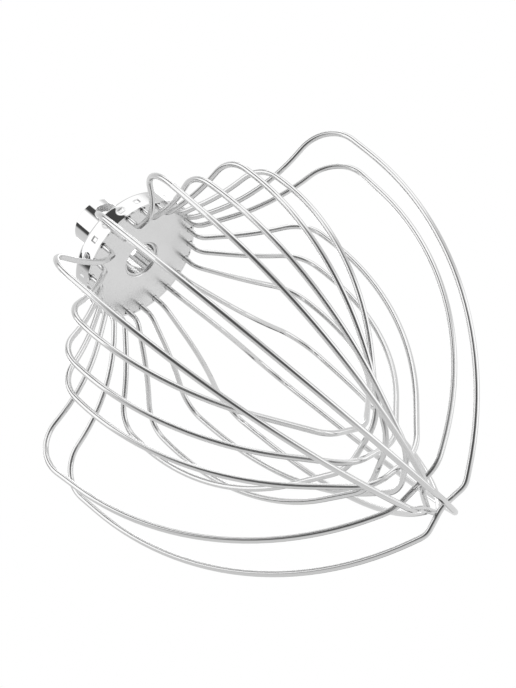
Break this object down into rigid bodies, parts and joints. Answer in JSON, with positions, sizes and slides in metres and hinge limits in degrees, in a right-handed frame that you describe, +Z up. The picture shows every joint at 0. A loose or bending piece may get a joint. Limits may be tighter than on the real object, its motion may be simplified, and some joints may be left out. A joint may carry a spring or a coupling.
{
  "type": "stand mixer wire whisk",
  "caption": "Balloon-shaped wire whisk for a stand mixer: bent wire loops crossing below a crimped round hub, with a slotted collar that locks onto the mixer's shaft.",
  "frame": {"origin": "centre of the collar's mouth, where the mixer's shaft enters", "axes": "+Z up along the shaft, away from the wires; the outermost loop lies close to the YZ plane, and the two widest loops stand either side of the XZ plane"},
  "size_m": [0.1608, 0.1556, 0.1826],
  "materials": {
    "polished_wire": "drawn and polished stainless wire",
    "mirror_cap": "mirror polished drawn sheet",
    "turned_collar": "turned and polished",
    "satin_plate": "satin pressed sheet"
  },
  "bodies": {
    "root": {"drive_collar": "turned_collar", "crimped_cap": "mirror_cap", "base_plate": "satin_plate", "wire_loop_01": "polished_wire", "wire_loop_02": "polished_wire", "wire_loop_03": "polished_wire", "wire_loop_04": "polished_wire", "wire_loop_05": "polished_wire", "wire_loop_06": "polished_wire", "wire_loop_07": "polished_wire", "wire_loop_08": "polished_wire", "wire_loop_09": "polished_wire", "wire_loop_10": "polished_wire", "wire_loop_11": "polished_wire"}
  },
  "joints": []
}
